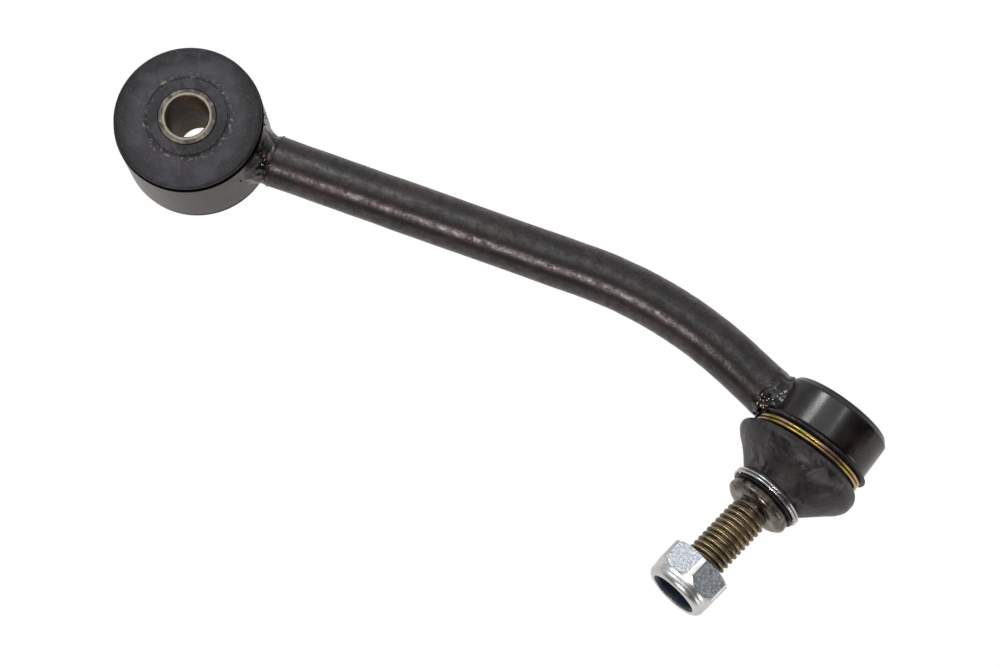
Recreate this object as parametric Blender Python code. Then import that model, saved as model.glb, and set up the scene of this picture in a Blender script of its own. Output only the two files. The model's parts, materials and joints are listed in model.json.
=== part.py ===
# Stabilizer link: a bent round bar with a rubber bush in a welded eye at one end
# and a sealed ball joint with a threaded stud and a lock nut at the other.
# Metres, +Z up. The bar runs along X, the bush's bolt hole runs along Z, and the
# stud is swung a few degrees off the housing's axis, as the loose link lies.

import math

import bmesh
import bpy
from mathutils import Matrix, Vector

mm = 0.001

# Bar
centre_distance = 170.5 * mm
bar_radius = 6.35 * mm
bar_edge = 0.5 * mm
bush_leg_angle = math.radians(6.7)
ball_leg_angle = math.radians(17.5)
bend_radius = 104.0 * mm

# Gap kept between two pieces that touch on the real link
clearance = 0.3 * mm

# Bush end
eye_radius = 18.4 * mm
eye_wall = 3.0 * mm
eye_width = 19.0 * mm
eye_edge = 0.5 * mm
bolt_hole_radius = 5.25 * mm
sleeve_wall = 1.85 * mm
sleeve_length = 24.4 * mm
sleeve_chamfer = 0.25 * mm
flange_radius = 18.15 * mm
flange_round = 1.4 * mm
hub_width = 2.2 * mm
hub_step = 0.45 * mm
hub_recess = 0.25 * mm
groove_width = 0.7 * mm

# Welds, the metal between a square bar end and the round piece it is fixed to
eye_weld_length = 2.7 * mm
housing_weld_length = 2.3 * mm
weld_waist = 0.6 * mm
weld_flare = 1.3 * mm

# Ball joint
housing_lean = math.radians(10.1)
ball_offset = 2.5 * mm
ball_radius = 8.0 * mm
ball_flat_radius = 2.4 * mm
seat_wall = 2.3 * mm
seat_floor = 0.6 * mm
seat_rise = 3.3 * mm
seat_hole_radius = 2.0 * mm
housing_wall = 2.9 * mm
housing_side = 9.9 * mm
housing_shoulder = -0.7 * mm
housing_rim_bevel = 1.0 * mm
rim_lip = 1.2 * mm
rim_lip_thickness = 0.5 * mm
cap_thickness = 1.6 * mm
cap_rest = 1.0 * mm
boot_groove_depth = 1.9 * mm
boot_groove_width = 3.4 * mm
nose_height = 0.6 * mm
nose_width = 0.8 * mm
mouth_radius = 7.55 * mm
mouth_height = 5.2 * mm
mouth_lip = 1.6 * mm

# Rubber boot and the two wire rings that hold it
boot_thickness = 1.3 * mm
bead_lip_radius = 14.9 * mm
bead_lip_width = 0.7 * mm
clamp_wire_radius = 0.48 * mm
clamp_ring_radius = 14.05 * mm
clamp_ring_shift = 0.5 * mm
clamp_pitch = 1.02 * mm
wire_turns = 1.75
wire_room = 0.05 * mm
bulge_radius = 16.35 * mm
bulge_height = 5.9 * mm
boot_slump = 0.9 * mm
boot_lean_power = 0.62
neck_land_height = 15.2 * mm
neck_wire_radius = 0.38 * mm
neck_ring_radius = 9.0 * mm
neck_pitch = 0.82 * mm
neck_lip_radius = 9.1 * mm
neck_lip_width = 0.4 * mm
swing_in_plane = math.radians(6.2)
swing_out_of_plane = math.radians(5.5)

# Ball stud
shank_radius = 4.5 * mm
land_radius = 6.2 * mm
land_cone = 2.0 * mm
collar_radius = 8.4 * mm
collar_top_radius = 7.9 * mm
collar_seat_radius = 6.7 * mm
collar_thickness = 3.2 * mm
boot_to_collar = 0.35 * mm
thread_radius = 4.92 * mm
thread_root_radius = 4.08 * mm
thread_pitch = 1.5 * mm
thread_length = 22.3 * mm
undercut_length = 1.0 * mm
seat_relief_depth = 0.4 * mm  # groove round the thread in the collar's flat face
tip_chamfer = 0.9 * mm

# Lock nut, started on the stud's tip
nut_across_flats = 16.0 * mm
nut_hex_length = 6.9 * mm
nut_collar_length = 3.0 * mm
nut_collar_radius = 7.7 * mm
nut_collar_round = 0.9 * mm
nut_chamfer_ratio = 0.95
nut_grip = 5.2 * mm
nut_turn_at_rest = math.radians(-4.0)
insert_radius = 6.6 * mm
insert_length = 1.9 * mm
insert_bore_radius = 5.25 * mm
nut_mouth_radius = 6.1 * mm
nut_lip_thickness = 0.8 * mm
thread_clearance = 0.3 * mm

# Facets round each kind of piece
bush_sides = 40
ball_sides = 36
bar_sides = 24
stud_sides = 18
wire_steps = 28
wire_sides = 6

# Sizes that follow from the ones above
eye_bore_radius = eye_radius - eye_wall
sleeve_radius = bolt_hole_radius + sleeve_wall
hub_radius = sleeve_radius + clearance + hub_width
hub_top = sleeve_length / 2 - hub_recess
flange_underside = eye_width / 2 + clearance
seat_inner_radius = ball_radius + clearance
seat_radius = seat_inner_radius + seat_wall
seat_floor_height = -math.sqrt(seat_inner_radius**2 - seat_hole_radius**2) - seat_floor
housing_bore_radius = seat_radius + clearance
housing_radius = housing_bore_radius + housing_wall
housing_rim_height = housing_shoulder - housing_side
cap_top = seat_floor_height - clearance
cap_radius = housing_bore_radius + cap_rest - clearance
cap_bottom = cap_top - cap_thickness
rim_end = min(cap_bottom - clearance - rim_lip_thickness, housing_rim_height - housing_rim_bevel)
groove_radius = housing_radius - boot_groove_depth
groove_end = housing_shoulder + boot_groove_width
bead_radius = groove_radius + clearance
bead_start = housing_shoulder + clearance
clamp_half_width = clamp_pitch * wire_turns / 2 + clamp_wire_radius + wire_room
clamp_height = bead_start + bead_lip_width + clamp_half_width
clamp_groove_radius = clamp_ring_radius - clamp_ring_shift - clamp_wire_radius - wire_room
neck_half_width = neck_pitch * wire_turns / 2 + neck_wire_radius + wire_room
neck_ring_height = neck_land_height + neck_half_width
neck_groove_radius = neck_ring_radius - neck_wire_radius - clearance
neck_lip_top = neck_ring_height + neck_half_width + neck_lip_width
collar_top = neck_lip_top + boot_to_collar
collar_bottom = collar_top + collar_thickness
thread_start = collar_bottom + undercut_length
stud_tip = thread_start + thread_length
nut_face = stud_tip - nut_grip
nut_hex_end = nut_face + nut_hex_length
nut_end = nut_hex_end + nut_collar_length
insert_end = nut_end - nut_lip_thickness - clearance
insert_start = insert_end - insert_length


def finish(name, colour, roughness, metallic):
    """A material with one plain colour."""
    material = bpy.data.materials.new(name)
    material.use_nodes = True
    shader = material.node_tree.nodes["Principled BSDF"]
    shader.inputs["Base Color"].default_value = (*colour, 1.0)
    shader.inputs["Roughness"].default_value = roughness
    shader.inputs["Metallic"].default_value = metallic
    return material


def add_piece(name, mesh_builder, parent, material, crease=math.radians(35)):
    """Turns a finished bmesh into an object under its parent."""
    bmesh.ops.recalc_face_normals(mesh_builder, faces=mesh_builder.faces)
    mesh = bpy.data.meshes.new(name)
    mesh_builder.to_mesh(mesh)
    mesh_builder.free()
    mesh.shade_smooth()
    mesh.set_sharp_from_angle(angle=crease)
    mesh.materials.append(material)
    piece = bpy.data.objects.new(name, mesh)
    bpy.context.scene.collection.objects.link(piece)
    piece.parent = parent
    return piece


def add_frame(name, parent, matrix):
    """An empty that carries pieces, with its own axes."""
    frame = bpy.data.objects.new(name, None)
    bpy.context.scene.collection.objects.link(frame)
    frame.parent = parent
    frame.matrix_local = matrix
    return frame


def turned(outline, sides):
    """A solid turned about Z from (radius, height) points. The outline closes on
    itself, or starts and ends on the axis."""
    builder = bmesh.new()
    points = [builder.verts.new((radius, 0.0, height)) for radius, height in outline]
    edges = [builder.edges.new(pair) for pair in zip(points, points[1:])]
    if outline[0][0] > 0 or outline[-1][0] > 0:
        edges.append(builder.edges.new((points[-1], points[0])))
    bmesh.ops.spin(
        builder,
        geom=points + edges,
        cent=(0, 0, 0),
        axis=(0, 0, 1),
        angle=math.tau,
        steps=sides,
        use_merge=True,
    )
    bmesh.ops.remove_doubles(builder, verts=builder.verts, dist=1e-7)
    return builder


def arc(centre_radius, centre_height, radius, start, end, steps):
    """Outline points on an arc, with its angles in degrees from straight out."""
    points = []
    for step in range(steps + 1):
        angle = math.radians(start + (end - start) * step / steps)
        points.append((centre_radius + radius * math.cos(angle), centre_height + radius * math.sin(angle)))
    return points


def joined_rings(builder, rings, closed):
    """Faces between rings of vertices, each next to the last."""
    pairs = list(zip(rings, rings[1:]))
    if closed:
        pairs.append((rings[-1], rings[0]))
    for lower, upper in pairs:
        count = len(lower)
        for index in range(count):
            after = (index + 1) % count
            corners = [lower[index], lower[after], upper[after], upper[index]]
            distinct = list(dict.fromkeys(corners))
            if len(distinct) > 2:
                builder.faces.new(distinct)


def swept(path, radius, sides, first_normal, end_bevel=0.0):
    """A round bar or wire along a path, with flat ends and a bevel round them."""
    builder = bmesh.new()
    normal = Vector(first_normal)
    stations = [(point, radius) for point in path]
    if end_bevel:
        inward = (path[1] - path[0]).normalized() * end_bevel
        outward = (path[-2] - path[-1]).normalized() * end_bevel
        stations = (
            [(path[0], radius - end_bevel), (path[0] + inward, radius)]
            + stations[1:-1]
            + [(path[-1] + outward, radius), (path[-1], radius - end_bevel)]
        )
    rings = []
    for index, (point, size) in enumerate(stations):
        before = stations[max(index - 1, 0)][0]
        after = stations[min(index + 1, len(stations) - 1)][0]
        along = (after - before).normalized()
        normal = (normal - along * normal.dot(along)).normalized()
        side = along.cross(normal)
        ring = []
        for step in range(sides):
            angle = math.tau * step / sides
            offset = normal * math.cos(angle) + side * math.sin(angle)
            ring.append(builder.verts.new(point + offset * size))
        rings.append(ring)
    joined_rings(builder, rings, closed=False)
    builder.faces.new(rings[0])
    builder.faces.new(rings[-1])
    return builder


def wire_ring(radius, height, wire_radius, pitch):
    """A wire wound round Z, with both ends on the underside."""
    path = []
    steps = round(wire_steps * wire_turns)
    for step in range(steps + 1):
        turn = wire_turns * (step / steps - 0.5)
        angle = math.tau * (turn + 0.5)
        path.append(Vector((radius * math.cos(angle), radius * math.sin(angle), height + pitch * turn)))
    return swept(path, wire_radius, wire_sides, (path[0].x, path[0].y, 0.0))


def round_ring(builder, radius, height, sides):
    ring = []
    for step in range(sides):
        angle = math.tau * step / sides
        ring.append(builder.verts.new((radius * math.cos(angle), radius * math.sin(angle), height)))
    return ring


def thread_height(turn, share, side, sides, start):
    """Height of one point of the helix. Every thread on the stud's axis shares it."""
    first_turn = math.floor(start / thread_pitch)
    return thread_pitch * (turn + share + side / sides + first_turn) + stud_tip % thread_pitch


def thread_columns(sides, start, end, crest, root, end_radius, taper):
    """Points up a right-hand thread, one column for each step round it. Near both
    ends the thread runs out to the end's radius."""
    profile = [(0.125, root), (0.4375, crest), (0.5625, crest), (0.875, root)]
    turns = int((end - start) / thread_pitch) + 3
    columns = []
    for side in range(sides):
        angle = math.tau * side / sides
        column = []
        for turn in range(-2, turns):
            for share, radius in profile:
                height = thread_height(turn, share, side, sides, start)
                if not start < height < end:
                    continue
                depth = min(1.0, (end - height) / taper, (height - start) / taper)
                size = end_radius + (radius - end_radius) * depth
                spot = (size * math.cos(angle), size * math.sin(angle), height)
                column.append((turn, share, spot))
        columns.append(column)
    return columns


def threaded_tube(builder, sides, start, end, crest, root, end_radius, taper):
    """The surface of a right-hand thread between two plain rings, which it returns."""
    first = round_ring(builder, end_radius, start, sides)
    last = round_ring(builder, end_radius, end, sides)
    columns = thread_columns(sides, start, end, crest, root, end_radius, taper)
    grid = []
    for column in columns:
        grid.append({(turn, share): builder.verts.new(spot) for turn, share, spot in column})
    keys = {(turn, share) for column in columns for turn, share, _ in column}
    shares = sorted({share for _, share in keys})
    lowest = min(turn for turn, _ in keys) - 1
    highest = max(turn for turn, _ in keys) + 1
    ladder = [(turn, share) for turn in range(lowest, highest + 1) for share in shares]
    middle = (start + end) / 2

    def vertex(side, key):
        turn, share = key
        if side == sides:
            side = 0
            turn += 1
        found = grid[side].get((turn, share))
        if found:
            return found
        height = thread_height(turn, share, side, sides, start)
        return first[side] if height < middle else last[side]

    for side in range(sides):
        for lower, upper in zip(ladder, ladder[1:]):
            corners = [vertex(side, lower), vertex(side + 1, lower), vertex(side + 1, upper), vertex(side, upper)]
            distinct = list(dict.fromkeys(corners))
            if len(distinct) > 2 and not (set(distinct) <= set(first) or set(distinct) <= set(last)):
                builder.faces.new(distinct)
    return first, last


def cut_away(piece, cutter):
    """Takes the cutter's volume out of the piece."""
    cutter.hide_render = True
    cutter.display_type = "WIRE"
    modifier = piece.modifiers.new(cutter.name, "BOOLEAN")
    modifier.operation = "DIFFERENCE"
    modifier.object = cutter


def bush_eye(parent, material):
    half = eye_width / 2
    outline = [
        (eye_bore_radius, -half + eye_edge),
        (eye_bore_radius + eye_edge, -half),
        (eye_radius - eye_edge, -half),
        (eye_radius, -half + eye_edge),
        (eye_radius, half - eye_edge),
        (eye_radius - eye_edge, half),
        (eye_bore_radius + eye_edge, half),
        (eye_bore_radius, half - eye_edge),
    ]
    return add_piece("bush_eye", turned(outline, bush_sides), parent, material)


def bush_rubber(parent, material):
    """The rubber fills the eye and spreads into a flange over each end of it."""
    bore = sleeve_radius + clearance
    body = eye_bore_radius - clearance
    round_centre = flange_radius - flange_round
    edge_height = flange_underside - clearance
    face = hub_top - hub_step
    half = [
        (bore, hub_top),
        (hub_radius, hub_top),
        (hub_radius + groove_width / 2, face - groove_width / 4),
        (hub_radius + groove_width, face),
    ]
    half += [
        (hub_radius + (round_centre - hub_radius) * share, face - (face - edge_height - flange_round) * share**2)
        for share in (0.4, 0.7)
    ]
    half += arc(round_centre, edge_height, flange_round, 90, 15, 3)
    half += [(flange_radius - clearance / 4, flange_underside), (body, flange_underside)]
    outline = half + [(radius, -height) for radius, height in reversed(half)]
    return add_piece("bush_rubber", turned(outline, bush_sides), parent, material)


def bush_sleeve(parent, material):
    half = sleeve_length / 2
    outline = [
        (bolt_hole_radius, -half + sleeve_chamfer),
        (bolt_hole_radius + sleeve_chamfer, -half),
        (sleeve_radius, -half),
        (sleeve_radius, half),
        (bolt_hole_radius + sleeve_chamfer, half),
        (bolt_hole_radius, half - sleeve_chamfer),
    ]
    return add_piece("bush_sleeve", turned(outline, bush_sides), parent, material)


def bar_corner():
    """Where the bar's two straight legs would meet if it had no bend."""
    rise = math.tan(bush_leg_angle)
    fall = math.tan(ball_leg_angle)
    along = centre_distance * fall / (rise + fall)
    return Vector((along, along * rise, 0.0))


def bar_path():
    corner = bar_corner()
    far = Vector((centre_distance, 0.0, 0.0))
    first = corner.normalized()
    second = (far - corner).normalized()
    turn = bush_leg_angle + ball_leg_angle
    tangent = bend_radius * math.tan(turn / 2)
    bend_start = corner - first * tangent
    bend_centre = bend_start + Vector((first.y, -first.x, 0.0)) * bend_radius
    lean = ball_leg_angle - housing_lean
    end = far - second * (housing_radius + housing_weld_length) / math.cos(lean)
    path = [first * (eye_radius + eye_weld_length)]
    steps = 12
    for step in range(steps + 1):
        swing = Matrix.Rotation(-turn * step / steps, 3, "Z")
        path.append(bend_centre + swing @ (bend_start - bend_centre))
    path.append(end)
    return path


def link_bar(parent, material):
    return add_piece("link_bar", swept(bar_path(), bar_radius, bar_sides, (0, 0, 1), bar_edge), parent, material)


def weld_neck(name, far_radius, length, depth, frame, material):
    """Weld metal round a bar end, drawn in at the middle and flared onto the round
    piece. Z runs along the bar from the round piece's axis."""
    start = far_radius + length - clearance
    waist = far_radius + length * 0.55
    outline = [
        (0.0, far_radius - depth),
        (bar_radius + weld_flare, far_radius - depth),
        (bar_radius + weld_flare * 0.8, far_radius - depth * 0.45),
        (bar_radius + weld_flare * 0.1, far_radius + length * 0.15),
        (bar_radius - weld_waist, waist),
        (bar_radius - weld_waist * 0.8, far_radius + length * 0.75),
        (bar_radius - weld_waist * 0.1, start),
        (0.0, start),
    ]
    return add_piece(name, turned(outline, bar_sides), frame, material)


def eye_weld(link, material):
    angle = bush_leg_angle
    frame = add_frame("bush_leg", link, Matrix.Rotation(angle, 4, "Z") @ Matrix.Rotation(math.pi / 2, 4, "Y"))
    weld = weld_neck("eye_weld", eye_radius, eye_weld_length, eye_wall, frame, material)
    reach = (0.0, eye_radius + clearance)
    half = eye_width
    cutter = add_piece("eye_clearance", turned([(0.0, -half), (reach[1], -half), (reach[1], half), (0.0, half)],
                                               bush_sides), link, material)
    cut_away(weld, cutter)
    return weld


def housing_weld(link, ball_frame, material):
    far = Matrix.Translation((centre_distance, 0.0, 0.0))
    back = Matrix.Rotation(math.pi - ball_leg_angle, 4, "Z") @ Matrix.Rotation(math.pi / 2, 4, "Y")
    frame = add_frame("ball_leg", link, far @ back)
    weld = weld_neck("housing_weld", housing_radius, housing_weld_length, housing_wall, frame, material)
    side = housing_radius + clearance
    boot_side = bead_lip_radius + clearance * 2
    boot_start = housing_shoulder
    cut = [
        (0.0, -housing_radius),
        (side, -housing_radius),
        (side, boot_start),
        (boot_side + bar_radius, boot_start),
        (boot_side + bar_radius, housing_radius),
        (0.0, housing_radius),
    ]
    cutter = add_piece("housing_clearance", turned(cut, ball_sides), ball_frame, material)
    cut_away(weld, cutter)
    return weld


def joint_housing(frame, material):
    """A steel cup, open for the stud at the top and closed by a cap at the bottom,
    with a groove for the boot round its mouth."""
    nose = groove_radius + nose_height
    outline = [
        (housing_radius, housing_rim_height),
        (housing_radius, housing_shoulder - clearance),
        (housing_radius - clearance, housing_shoulder),
        (groove_radius, housing_shoulder),
        (groove_radius, groove_end),
        (nose, groove_end + clearance),
        (nose, groove_end + nose_width),
        (mouth_radius + mouth_lip, mouth_height),
        (mouth_radius, mouth_height),
        (mouth_radius, mouth_height - mouth_lip / 2),
        (mouth_radius + mouth_lip / 2, seat_rise + clearance),
        (housing_bore_radius, seat_rise + clearance),
        (housing_bore_radius, cap_top + clearance),
        (housing_bore_radius + cap_rest, cap_top + clearance),
        (housing_bore_radius + cap_rest, cap_bottom - clearance),
        (housing_bore_radius + cap_rest - rim_lip, cap_bottom - clearance),
        (housing_bore_radius + cap_rest - rim_lip, rim_end),
        (housing_radius - housing_rim_bevel, rim_end),
    ]
    return add_piece("joint_housing", turned(outline, ball_sides), frame, material)


def housing_cap(frame, material):
    dome = clearance
    outline = [
        (0.0, cap_bottom - dome),
        (cap_radius * 0.6, cap_bottom - dome),
        (cap_radius * 0.75, cap_bottom),
        (cap_radius, cap_bottom),
        (cap_radius, cap_top),
        (0.0, cap_top),
    ]
    return add_piece("housing_cap", turned(outline, ball_sides), frame, material)


def ball_seat(frame, material):
    """The plastic shell that the ball turns in, open at the top for the shank."""
    mouth = math.degrees(math.asin(seat_rise / seat_inner_radius))
    floor = -math.degrees(math.acos(seat_hole_radius / seat_inner_radius))
    outline = [
        (seat_hole_radius, seat_floor_height),
        (seat_radius, seat_floor_height),
        (seat_radius, seat_rise),
    ]
    outline += arc(0.0, 0.0, seat_inner_radius, mouth, floor, 7)
    return add_piece("ball_seat", turned(outline, ball_sides), frame, material)


def lean_towards_stud(share):
    """The turn from the housing's axis to the stud's, or a share of it."""
    in_plane = Matrix.Rotation(-swing_in_plane * share, 4, "X")
    out_of_plane = Matrix.Rotation(swing_out_of_plane * share, 4, "Y")
    return in_plane @ out_of_plane


def dust_boot(frame, material):
    """The boot is clamped to the housing below and sits round the stud above, so
    each ring of it leans a little further towards the stud."""
    bead_end = clamp_height + clamp_half_width
    shoulder = bead_end + clearance / 2
    inner_bulge = bulge_radius - boot_thickness
    neck_outer = neck_groove_radius - clearance / 2
    neck_inner = land_radius + clearance
    fall = neck_land_height - bulge_height
    bulge_share = (bulge_height - bead_end) / (neck_land_height - bead_end)
    outer = [
        (bead_radius, bead_start),
        (bead_lip_radius - clearance, bead_start),
        (bead_lip_radius, bead_start + bead_lip_width / 2),
        (bead_lip_radius - clearance, bead_start + bead_lip_width),
        (clamp_groove_radius, bead_start + bead_lip_width),
        (clamp_groove_radius, bead_end),
        (clamp_ring_radius + clamp_wire_radius, shoulder),
        (bulge_radius - boot_thickness * 0.45, shoulder + (bulge_height - shoulder) * 0.3),
        (bulge_radius, bulge_height),
        (bulge_radius - boot_thickness * 0.2, bulge_height + fall * 0.14),
    ]
    for share in (0.3, 0.48, 0.66, 0.82):
        width = neck_outer + (bulge_radius - neck_outer) * (1 - share) ** 1.25
        outer.append((width, bulge_height + fall * share))
    outer += [
        (neck_outer, neck_land_height - clearance),
        (neck_groove_radius, neck_land_height),
        (neck_groove_radius, neck_lip_top - neck_lip_width),
        (neck_lip_radius, neck_lip_top - neck_lip_width + clearance),
        (neck_lip_radius, neck_lip_top),
        (neck_inner, neck_lip_top),
    ]
    inner = [(neck_inner, neck_land_height - boot_thickness * 0.5)]
    for share in (0.75, 0.5, 0.25):
        width = neck_outer + (bulge_radius - neck_outer) * (1 - share) ** 1.25 - boot_thickness
        inner.append((max(width, neck_inner), bulge_height + fall * share - boot_thickness * 0.5))
    inner += [
        (inner_bulge, bulge_height),
        (groove_radius + nose_height + clearance, groove_end + nose_width / 2),
        (groove_radius + nose_height + clearance, groove_end),
        (bead_radius, groove_end - clearance * 2),
    ]
    outline = outer + inner
    builder = bmesh.new()
    rings = []
    for radius, height in outline:
        share = min(1.0, max(0.0, (height - bead_end) / (neck_land_height - bead_end)))
        lean = lean_towards_stud(share**boot_lean_power)
        slump = boot_slump * min(1.0, share / bulge_share) * max(0.0, 1 - share) ** 2
        ring = []
        for step in range(ball_sides):
            angle = math.tau * step / ball_sides
            spot = Vector((radius * math.cos(angle), radius * math.sin(angle) + slump, height))
            ring.append(builder.verts.new(lean @ spot))
        rings.append(ring)
    joined_rings(builder, rings, closed=True)
    return add_piece("dust_boot", builder, frame, material)


def ball_pin(frame, material):
    """Ball, shank, collar and thread, forged and turned in one piece."""
    ball_bottom = -math.degrees(math.acos(ball_flat_radius / ball_radius))
    ball_top = math.degrees(math.acos(shank_radius / ball_radius))
    profile = arc(0.0, 0.0, ball_radius, ball_bottom, ball_top, 9)
    profile += [
        (shank_radius, neck_land_height - boot_thickness - land_cone),
        (land_radius, neck_land_height - boot_thickness),
        (land_radius, collar_top),
        (collar_top_radius, collar_top),
        (collar_radius, collar_top + collar_thickness * 0.35),
        (collar_radius, collar_top + collar_thickness * 0.6),
        ((collar_radius + collar_seat_radius) / 2 + clearance, collar_top + collar_thickness * 0.88),
        (collar_seat_radius, collar_bottom),
        (thread_radius + clearance, collar_bottom),
        (thread_root_radius + clearance, collar_bottom - seat_relief_depth),
        (thread_root_radius, collar_bottom - seat_relief_depth + clearance),
    ]
    builder = bmesh.new()
    rings = [round_ring(builder, radius, height, stud_sides) for radius, height in profile]
    first, last = threaded_tube(
        builder,
        stud_sides,
        thread_start,
        stud_tip,
        crest=thread_radius,
        root=thread_root_radius,
        end_radius=thread_root_radius,
        taper=tip_chamfer,
    )
    joined_rings(builder, rings + [first], closed=False)
    builder.faces.new(rings[0])
    builder.faces.new(last)
    return add_piece("ball_pin", builder, frame, material, crease=math.radians(28))


def hexagon_radius(angle):
    """How far the hexagon's side lies from its middle, with a corner at angle zero."""
    sixth = math.pi / 3
    return nut_across_flats / 2 / math.cos(angle % sixth - sixth / 2)


def hex_nut(frame, material):
    """A hexagon with a rounded collar that holds the nylon ring. Its thread runs on
    the stud's own helix."""
    builder = bmesh.new()
    chamfer_radius = nut_across_flats / 2 * nut_chamfer_ratio
    slope = math.tan(math.radians(30))

    def hex_ring(height, towards):
        ring = []
        for step in range(stud_sides):
            angle = math.tau * step / stud_sides
            radius = hexagon_radius(angle)
            drop = (radius - chamfer_radius) * slope
            direction = angle + nut_turn_at_rest
            spot = (radius * math.cos(direction), radius * math.sin(direction), height + drop * towards)
            ring.append(builder.verts.new(spot))
        return ring

    def plain_ring(radius, height):
        ring = []
        for step in range(stud_sides):
            direction = math.tau * step / stud_sides + nut_turn_at_rest
            ring.append(builder.verts.new((radius * math.cos(direction), radius * math.sin(direction), height)))
        return ring

    recess_radius = insert_radius + clearance
    recess_start = insert_start - clearance
    thread_crest = thread_root_radius + thread_clearance
    thread_depth = thread_radius + thread_clearance
    start, end = threaded_tube(
        builder,
        stud_sides,
        nut_face + clearance,
        recess_start - clearance,
        crest=thread_depth,
        root=thread_crest,
        end_radius=thread_depth,
        taper=thread_pitch / 2,
    )
    outside = [
        start,
        plain_ring(thread_depth + clearance, nut_face),
        plain_ring(chamfer_radius, nut_face),
        hex_ring(nut_face, 1),
        hex_ring(nut_hex_end, -1),
        plain_ring(nut_collar_radius, nut_hex_end),
        plain_ring(nut_collar_radius, nut_end - nut_collar_round),
        plain_ring(nut_collar_radius - nut_collar_round * 0.3, nut_end - nut_collar_round * 0.3),
        plain_ring(nut_collar_radius - nut_collar_round, nut_end),
        plain_ring(nut_mouth_radius, nut_end),
        plain_ring(nut_mouth_radius, nut_end - nut_lip_thickness),
        plain_ring(recess_radius, nut_end - nut_lip_thickness),
        plain_ring(recess_radius, recess_start),
        plain_ring(thread_depth + clearance, recess_start),
        end,
    ]
    joined_rings(builder, outside, closed=False)
    return add_piece("hex_nut", builder, frame, material)


def nut_insert(frame, material):
    outline = [
        (insert_bore_radius, insert_start),
        (insert_radius, insert_start),
        (insert_radius, insert_end),
        (insert_bore_radius, insert_end),
    ]
    return add_piece("nut_insert", turned(outline, stud_sides), frame, material)


def stand_on_origin(link, pieces):
    """Moves the whole link so that the bottom of its box is centred on the origin."""
    bpy.context.view_layer.update()
    graph = bpy.context.evaluated_depsgraph_get()
    corners = []
    for piece in pieces:
        evaluated = piece.evaluated_get(graph)
        mesh = evaluated.to_mesh()
        corners += [evaluated.matrix_world @ vertex.co for vertex in mesh.vertices]
        evaluated.to_mesh_clear()
    lowest = Vector([min(corner[axis] for corner in corners) for axis in range(3)])
    highest = Vector([max(corner[axis] for corner in corners) for axis in range(3)])
    middle = (lowest + highest) / 2
    link.location = (-middle.x, -middle.y, -lowest.z)
    bpy.context.view_layer.update()


def build():
    for old in list(bpy.data.objects):
        bpy.data.objects.remove(old, do_unlink=True)

    black_paint = finish("black_paint", (0.022, 0.020, 0.020), 0.38, 0.0)
    weld_paint = finish("weld_paint", (0.016, 0.014, 0.014), 0.22, 0.0)
    rubber = finish("rubber", (0.045, 0.045, 0.050), 0.62, 0.0)
    passivated = finish("passivated_steel", (0.30, 0.26, 0.20), 0.42, 1.0)
    bare_steel = finish("bare_steel", (0.28, 0.25, 0.21), 0.36, 1.0)
    yellow_zinc = finish("yellow_zinc", (0.62, 0.48, 0.22), 0.25, 1.0)
    bright_zinc = finish("bright_zinc", (0.62, 0.65, 0.68), 0.32, 1.0)
    spring_steel = finish("spring_steel", (0.75, 0.75, 0.76), 0.18, 1.0)
    nylon = finish("nylon", (0.02, 0.05, 0.10), 0.45, 0.0)
    acetal = finish("acetal", (0.80, 0.79, 0.74), 0.40, 0.0)

    link = add_frame("link", None, Matrix.Identity(4))
    mouth_direction = -(math.pi / 2 + housing_lean)
    out = Vector((math.cos(mouth_direction), math.sin(mouth_direction), 0.0))
    up = Vector((0.0, 0.0, 1.0))
    axes = Matrix((up, out.cross(up), out)).transposed().to_4x4()
    ball_centre = Vector((centre_distance, 0.0, 0.0)) + out * ball_offset
    housing_axis = add_frame("housing_axis", link, Matrix.Translation(ball_centre) @ axes)
    swing_frame = add_frame("swing_in_plane", housing_axis, Matrix.Rotation(-swing_in_plane, 4, "X"))
    stud_axis = add_frame("stud_axis", swing_frame, Matrix.Rotation(swing_out_of_plane, 4, "Y"))

    # The weld's frame meets the housing's axis where the bar does, below the ball.
    clamp_axis = add_frame("clamp_axis", housing_axis, Matrix.Translation((0.0, clamp_ring_shift, 0.0)))
    pieces = [
        bush_eye(link, black_paint),
        bush_rubber(link, rubber),
        bush_sleeve(link, passivated),
        link_bar(link, black_paint),
        eye_weld(link, weld_paint),
        housing_weld(link, housing_axis, weld_paint),
        joint_housing(housing_axis, black_paint),
        housing_cap(housing_axis, black_paint),
        ball_seat(housing_axis, acetal),
        dust_boot(housing_axis, rubber),
        add_piece(
            "boot_clamp_ring",
            wire_ring(clamp_ring_radius, clamp_height, clamp_wire_radius, clamp_pitch),
            clamp_axis,
            yellow_zinc,
        ),
        add_piece(
            "boot_neck_ring",
            wire_ring(neck_ring_radius, neck_ring_height, neck_wire_radius, neck_pitch),
            stud_axis,
            spring_steel,
        ),
        ball_pin(stud_axis, bare_steel),
        nut_insert(stud_axis, nylon),
        hex_nut(stud_axis, bright_zinc),
    ]
    stand_on_origin(link, pieces)


build()
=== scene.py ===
import json
import math
import random

import bmesh
import bpy
from mathutils import Matrix, Vector, noise


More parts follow.
